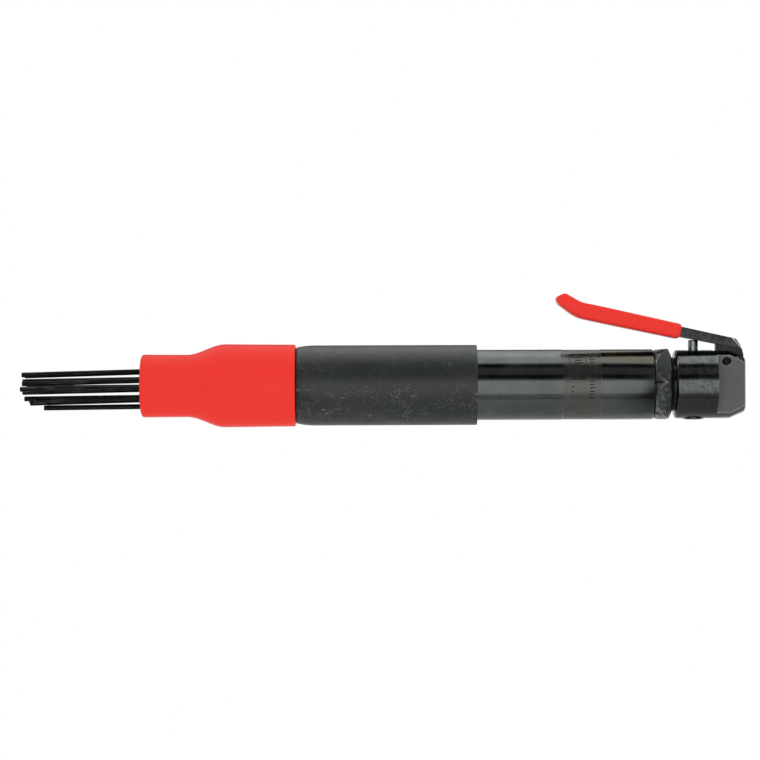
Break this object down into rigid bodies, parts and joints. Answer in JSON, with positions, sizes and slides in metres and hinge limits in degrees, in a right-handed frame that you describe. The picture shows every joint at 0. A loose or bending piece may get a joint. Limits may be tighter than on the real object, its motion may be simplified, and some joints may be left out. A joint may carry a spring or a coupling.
{
  "type": "pneumatic needle scaler",
  "caption": "Straight in-line air-powered needle scaler with a throttle lever, grip sleeve, rubber-shrouded nose and a bundle of floating steel needles.",
  "frame": {"origin": "centre of the air inlet at the throttle head's rear face, on the barrel axis", "axes": "+X rearward along the barrel axis, out of the air inlet; the needles point to -X; +Z towards the throttle lever; +Y to the far side"},
  "size_m": [0.4325, 0.0502, 0.0784],
  "materials": {
    "red_vinyl": "dipped vinyl, smooth satin",
    "black_rubber": "moulded rubber, matte, scuffed",
    "oxide_steel": "turned and black oxided, oiled",
    "lever_steel": "stamped plate, dull grey",
    "needle_steel": "hardened, black",
    "ground_steel": "ground",
    "spring_steel": "oil-tempered wire",
    "seal_rubber": "black nitrile, matte",
    "nylon": "natural nylon",
    "brass": "machined"
  },
  "bodies": {
    "root": {"front_housing": "oxide_steel", "red_shroud": "red_vinyl", "grip_sleeve": "black_rubber", "barrel": "oxide_steel", "spring_seat": "ground_steel", "return_spring": "spring_steel", "lock_nut": "oxide_steel", "neck_seal": "seal_rubber", "throttle_head": "oxide_steel", "valve_case_front": "ground_steel", "valve_case_rear": "ground_steel", "case_gasket": "seal_rubber", "case_dowel_1": "ground_steel", "case_dowel_2": "ground_steel", "anvil_sleeve": "nylon", "anvil_buffer": "seal_rubber", "inlet_bushing": "brass", "inlet_screen": "brass", "lever_pin": "oxide_steel", "plunger_bushing": "brass", "plunger_oring": "seal_rubber", "valve_cap": "oxide_steel", "valve_cap_oring": "seal_rubber", "throttle_spring": "spring_steel"},
    "lever": {"lever": "lever_steel", "lever_grip": "red_vinyl"},
    "throttle_plunger": {"throttle_plunger": "oxide_steel"},
    "throttle_valve": {"throttle_valve": "ground_steel", "valve_washer": "seal_rubber"},
    "hammer": {"piston": "ground_steel"},
    "anvil": {"anvil": "ground_steel"},
    "needle_holder": {"needle_holder": "ground_steel"},
    "flutter_valve": {"flutter_valve": "ground_steel"},
    "needle_01": {"needle_01": "needle_steel"},
    "needle_02": {"needle_02": "needle_steel"},
    "needle_03": {"needle_03": "needle_steel"},
    "needle_04": {"needle_04": "needle_steel"},
    "needle_05": {"needle_05": "needle_steel"},
    "needle_06": {"needle_06": "needle_steel"},
    "needle_07": {"needle_07": "needle_steel"},
    "needle_08": {"needle_08": "needle_steel"},
    "needle_09": {"needle_09": "needle_steel"},
    "needle_10": {"needle_10": "needle_steel"},
    "needle_11": {"needle_11": "needle_steel"},
    "needle_12": {"needle_12": "needle_steel"},
    "needle_13": {"needle_13": "needle_steel"},
    "needle_14": {"needle_14": "needle_steel"},
    "needle_15": {"needle_15": "needle_steel"},
    "needle_16": {"needle_16": "needle_steel"},
    "needle_17": {"needle_17": "needle_steel"},
    "needle_18": {"needle_18": "needle_steel"},
    "needle_19": {"needle_19": "needle_steel"}
  },
  "joints": [
    {"name": "lever_pivot", "type": "hinge", "parent": "root", "child": "lever", "pos_m": [-0.0111, 0, 0.0136], "axis": [0, -1, 0], "range_deg": [0, 10], "stiffness_Nm_per_rad": 1, "springref_deg": -17.19},
    {"name": "throttle_plunger_slide", "type": "slide", "parent": "root", "child": "throttle_plunger", "axis": [0, 0, -1], "range_m": [0, 0.0034]},
    {"name": "throttle_valve_slide", "type": "slide", "parent": "root", "child": "throttle_valve", "axis": [0, 0, -1], "range_m": [0, 0.0034], "deforming": ["throttle_spring"]},
    {"name": "hammer_slide", "type": "slide", "parent": "root", "child": "hammer", "axis": [1, 0, 0], "range_m": [0, 0.045]},
    {"name": "anvil_slide", "type": "slide", "parent": "root", "child": "anvil", "axis": [-1, 0, 0], "range_m": [0, 0.006], "stiffness_N_per_m": 3000, "springref_m": -0.01},
    {"name": "holder_slide", "type": "slide", "parent": "root", "child": "needle_holder", "axis": [-1, 0, 0], "range_m": [0, 0.006], "deforming": ["return_spring"]},
    {"name": "flutter_valve_slide", "type": "slide", "parent": "root", "child": "flutter_valve", "axis": [1, 0, 0], "range_m": [0, 0.001]},
    {"name": "needle_01_slide", "type": "slide", "parent": "needle_holder", "child": "needle_01", "axis": [0.9997, 0, 0.0255], "range_m": [-0.0002, 0.0158]},
    {"name": "needle_02_slide", "type": "slide", "parent": "needle_holder", "child": "needle_02", "axis": [0.9996, 0, 0.029], "range_m": [-0.0013, 0.0147]},
    {"name": "needle_03_slide", "type": "slide", "parent": "needle_holder", "child": "needle_03", "axis": [0.9996, 0, 0.0265], "range_m": [-0.0006, 0.0154]},
    {"name": "needle_04_slide", "type": "slide", "parent": "needle_holder", "child": "needle_04", "axis": [0.9997, 0, 0.0237], "range_m": [-0.0008, 0.0152]},
    {"name": "needle_05_slide", "type": "slide", "parent": "needle_holder", "child": "needle_05", "axis": [0.9999, 0, 0.0161], "range_m": [-0.0003, 0.0157]},
    {"name": "needle_06_slide", "type": "slide", "parent": "needle_holder", "child": "needle_06", "axis": [0.9999, 0, 0.0155], "range_m": [-0.0012, 0.0148]},
    {"name": "needle_07_slide", "type": "slide", "parent": "needle_holder", "child": "needle_07", "axis": [0.9998, 0, 0.0201], "range_m": [-0.0015, 0.0145]},
    {"name": "needle_08_slide", "type": "slide", "parent": "needle_holder", "child": "needle_08", "axis": [1, 0, 0.0098], "range_m": [0, 0.016]},
    {"name": "needle_09_slide", "type": "slide", "parent": "needle_holder", "child": "needle_09", "axis": [0.9998, 0, 0.0208], "range_m": [-0.0007, 0.0153]},
    {"name": "needle_10_slide", "type": "slide", "parent": "needle_holder", "child": "needle_10", "axis": [1, 0, 0.0052], "range_m": [-0.0023, 0.0137]},
    {"name": "needle_11_slide", "type": "slide", "parent": "needle_holder", "child": "needle_11", "axis": [0.9999, 0, 0.015], "range_m": [-0.0004, 0.0156]},
    {"name": "needle_12_slide", "type": "slide", "parent": "needle_holder", "child": "needle_12", "axis": [0.9998, 0, 0.018], "range_m": [-0.0018, 0.0142]},
    {"name": "needle_13_slide", "type": "slide", "parent": "needle_holder", "child": "needle_13", "axis": [0.9999, 0, 0.0173], "range_m": [-0.0085, 0.0075]},
    {"name": "needle_14_slide", "type": "slide", "parent": "needle_holder", "child": "needle_14", "axis": [0.9996, 0, 0.0265], "range_m": [-0.0048, 0.0112]},
    {"name": "needle_15_slide", "type": "slide", "parent": "needle_holder", "child": "needle_15", "axis": [0.9999, 0, 0.0108], "range_m": [-0.0007, 0.0153]},
    {"name": "needle_16_slide", "type": "slide", "parent": "needle_holder", "child": "needle_16", "axis": [0.9998, 0, 0.018], "range_m": [-0.0028, 0.0132]},
    {"name": "needle_17_slide", "type": "slide", "parent": "needle_holder", "child": "needle_17", "axis": [0.9999, 0, 0.0105], "range_m": [-0.0136, 0.0024]},
    {"name": "needle_18_slide", "type": "slide", "parent": "needle_holder", "child": "needle_18", "axis": [0.9999, 0, 0.0105], "range_m": [-0.0139, 0.0021]},
    {"name": "needle_19_slide", "type": "slide", "parent": "needle_holder", "child": "needle_19", "axis": [0.9999, 0, 0.0105], "range_m": [-0.0142, 0.0018]}
  ],
  "couplings": [
    {"joint": "throttle_plunger_slide", "follows": "lever_pivot", "m_per_rad": 0.019},
    {"joint": "throttle_valve_slide", "follows": "lever_pivot", "m_per_rad": 0.019},
    {"joint": "holder_slide", "follows": "anvil_slide", "ratio": 1}
  ]
}
